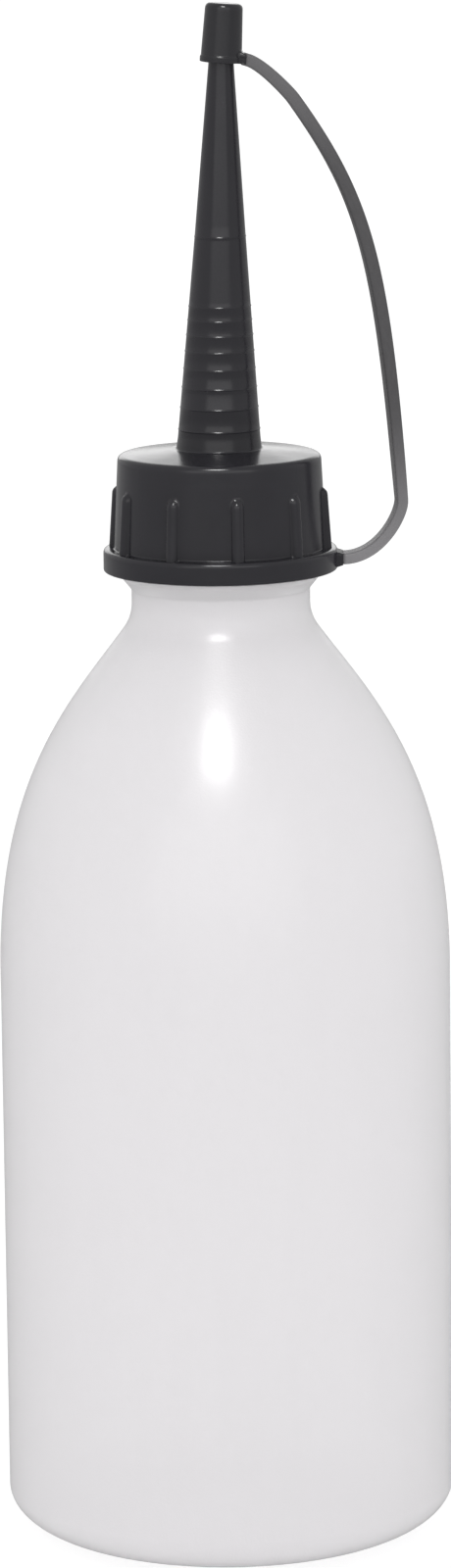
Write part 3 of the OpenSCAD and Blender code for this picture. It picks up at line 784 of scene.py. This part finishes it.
bow_h = crook_at[1] - knee_at[1]
crook_l = np.linalg.norm(strap_end_at - crook_at)
fine = np.vstack([
    route(root_at, np.array([KNEE_PULLS[0] * (knee_at[0] - root_at[0]), 0]),
          knee_at, KNEE_PULLS[1] * (knee_at[1] - root_at[1]) * knee_dir, 200)[:-1],
    route(knee_at, BOW_PULLS[0] * bow_h * knee_dir, crook_at, BOW_PULLS[1] * bow_h * crook_dir, 500)[:-1],
    route(crook_at, CROOK_PULLS[0] * crook_l * crook_dir,
          strap_end_at, CROOK_PULLS[1] * crook_l * strap_end_dir, 120)])
fine_length = np.concatenate([[0], np.cumsum(np.linalg.norm(np.diff(fine, axis=0), axis=1))])
print("strap length in mm:", round(float(fine_length[-1]), 1))


# %% [markdown]
# The strap is thin. It is duller than the cap, and faint streaks run along it.
# A painted image could hold them. Here they read the band's own map, whose second number is the millimetres
# along, so they follow the bow. Its base is painted greyer than the cap's, a painted sheen, and a paler
# tone at the knee and a little at the top is a painted highlight where the band faces up to the light.

# %% strap material
# Millimetres along the band where the painted highlight starts and where it is full, and how full.
STRAP_PAINTED_SHEEN = ((36.0, 2.0, 1.0), (70.0, 94.0, 0.3))
# The two strap tones: the step between them is the real streaks; both are lighter than the cap's black as a
# painted sheen for the light the strap's duller faces reflect.
STRAP_STREAK_AND_SHEEN_TONES = (0.050, 0.048, 0.051, 1), (0.088, 0.085, 0.089, 1)
# A pale grey for the painted highlight where the band's faces turn up towards the light.
SHEEN_TONE = (0.25, 0.243, 0.253, 1)


def strap_material():
    """Duller black with streaks along the band, read from its own map, painted greyer than the cap as a
    painted sheen. At the knee and a little at the top, a paler tone is laid on as a painted highlight."""
    material, tree = empty_material("black_strap_polyethylene")
    where = put(tree, "ShaderNodeTexCoord")
    uv = put(tree, "ShaderNodeUVMap", uv_map="skin")
    along = put(tree, "ShaderNodeMapping", Scale=(9.0, 0.09, 1))
    join(tree, uv.outputs[0], along.inputs["Vector"])
    streaks = put(tree, "ShaderNodeTexNoise", Scale=5.0, Detail=6.0, Roughness=0.65)
    join(tree, along.outputs[0], streaks.inputs["Vector"])
    tone = two_tones(tree, streaks.outputs["Fac"], *STRAP_STREAK_AND_SHEEN_TONES)
    place = put(tree, "ShaderNodeSeparateXYZ")
    join(tree, uv.outputs[0], place.inputs[0])
    # The mask of the painted highlight: a paler tone laid along the band by millimetres, not a lighter
    # plastic.
    sheen_mask = put(tree, "ShaderNodeMath", operation="MAXIMUM")
    for i, (none_at, full_at, most) in enumerate(STRAP_PAINTED_SHEEN):
        sheen_ramp = put(tree, "ShaderNodeMapRange", interpolation_type="SMOOTHSTEP")
        sheen_ramp.inputs["From Min"].default_value = none_at
        sheen_ramp.inputs["From Max"].default_value = full_at
        sheen_ramp.inputs["To Max"].default_value = most
        join(tree, place.outputs["Y"], sheen_ramp.inputs["Value"])
        join(tree, sheen_ramp.outputs["Result"], sheen_mask.inputs[i])
    sheened = two_tones(tree, sheen_mask.outputs[0], SHEEN_TONE, SHEEN_TONE)
    join(tree, tone.outputs["Result"], sheened.inputs["A"])
    surface = place_skin(tree, where.outputs["Object"], Smoothest=0.42, Dullest=0.55, Ripple=0.6)
    total = put(tree, "ShaderNodeMath", operation="ADD")
    join(tree, surface.outputs["Height"], total.inputs[0])
    join(tree, streaks.outputs["Fac"], total.inputs[1])
    finish_plastic(tree, sheened, surface, total.outputs[0], strength=0.4, depth=0.05)
    return material


# %% strap
SUNK, END_SUNK, SQUARISH = 0.15, 0.6, 0.32


def make_strap():
    """A rounded rectangle of 40 points, whose two sides are powers of cosine and sine, carried along the
    route in even steps. The first and the last row shrink to a point sunk in the lugs. Shares of the way
    along say where the twist, the thickness and the width change."""
    at_length = np.linspace(0, fine_length[-1], 190)
    at = np.stack([np.interp(at_length, fine_length, fine[:, i]) for i in (0, 1)], 1)
    d = unit(np.gradient(at, axis=0))
    at = np.vstack([at[:1] - SUNK * d[:1], at, at[-1:] + END_SUNK * d[-1:],
                    at[-1:] + (END_SUNK + SUNK) * d[-1:]])
    d = np.vstack([d[:1], d, d[-1:], d[-1:]])
    share = np.linspace(0, 1, len(at))
    twist = column(STRAP_TWIST * between(share, 0, 0.25)
                   + (STRAP_END_TWIST - STRAP_TWIST) * between(share, 0.35, 0.95))
    full_t = STRAP_ROOT_T + (STRAP_T - STRAP_ROOT_T) * between(share, 0, 0.7)
    half_t = column(full_t + (STRAP_END_T - full_t) * between(share, 0.86, 1)) / 2
    half_w = column(STRAP_W + (STRAP_END_W - STRAP_W) * between(share, 2 / 3, 1)) / 2
    w = np.linspace(0, 2 * math.pi, 40, endpoint=False)[None]
    flat = np.sign(np.cos(w)) * np.abs(np.cos(w)) ** SQUARISH * half_t
    deep = np.sign(np.sin(w)) * np.abs(np.sin(w)) ** SQUARISH * half_w
    shrink = np.ones((len(at), 1))
    shrink[[0, -1]] = 0
    flat, deep = flat * shrink, deep * shrink
    across = flat * np.cos(twist) - deep * np.sin(twist)
    back = flat * np.sin(twist) + deep * np.cos(twist)
    x = column(at[:, 0]) + across * column(d[:, 1])
    z = column(at[:, 1]) - across * column(d[:, 0])
    strap = skin("tether_strap_band", np.stack([x, back, z], -1), ring=False, material=strap_material(),
                 body=None, node="tether_strap")
    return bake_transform(strap)


strap = make_strap()

# %% [markdown]
# The sealing washer lies on the bottle's mouth under the deck. It is pressed from foamed polyethylene, which
# is matt and full of small cells, so its bump is a cell pattern and its edge is only slightly rounded.


# %% washer
WASHER_BORE_R, WASHER_EDGE = 12.4, 0.12


def foam_material():
    """Pale and matt, with cells of about a quarter of a millimetre for the bump and the tone."""
    material, tree = empty_material("washer_foam")
    where = put(tree, "ShaderNodeTexCoord")
    cells = put(tree, "ShaderNodeTexVoronoi", Scale=3800.0)
    join(tree, where.outputs["Object"], cells.inputs["Vector"])
    tone = two_tones(tree, cells.outputs["Distance"], (0.80, 0.80, 0.78, 1), (0.88, 0.88, 0.86, 1))
    surface = place_skin(tree, where.outputs["Object"], Smoothest=0.7, Dullest=0.85)
    finish_plastic(tree, tone, surface, cells.outputs["Distance"], strength=0.5, depth=0.06)
    return material


def make_washer():
    """A flat ring whose four edges are rounded."""
    inner, outer, top = WASHER_BORE_R, CAP_BORE_R - CLEARANCE, MOUTH_Z + WASHER_T
    middle = (inner + outer) / 2
    line = rounded([
        [middle, MOUTH_Z, 0], [outer, MOUTH_Z, WASHER_EDGE], [outer, top, WASHER_EDGE],
        [inner, top, WASHER_EDGE], [inner, MOUTH_Z, WASHER_EDGE], [middle, MOUTH_Z, 0]], steps=4)[:-1]
    angles = np.linspace(0, 2 * math.pi, 160, endpoint=False)[None]
    points = turned(column(line[:, 0]), column(line[:, 1]), angles)
    return skin("sealing_washer_ring", points, ring=True, material=foam_material(),
                body="washer", node="sealing_washer")


washer = make_washer()

# %% [markdown]
# The render shows colours as they are written, so the view transform is the plain one. Nothing that was added
# may reach past the frame.

# %% view
bpy.context.scene.view_settings.view_transform = "Standard"
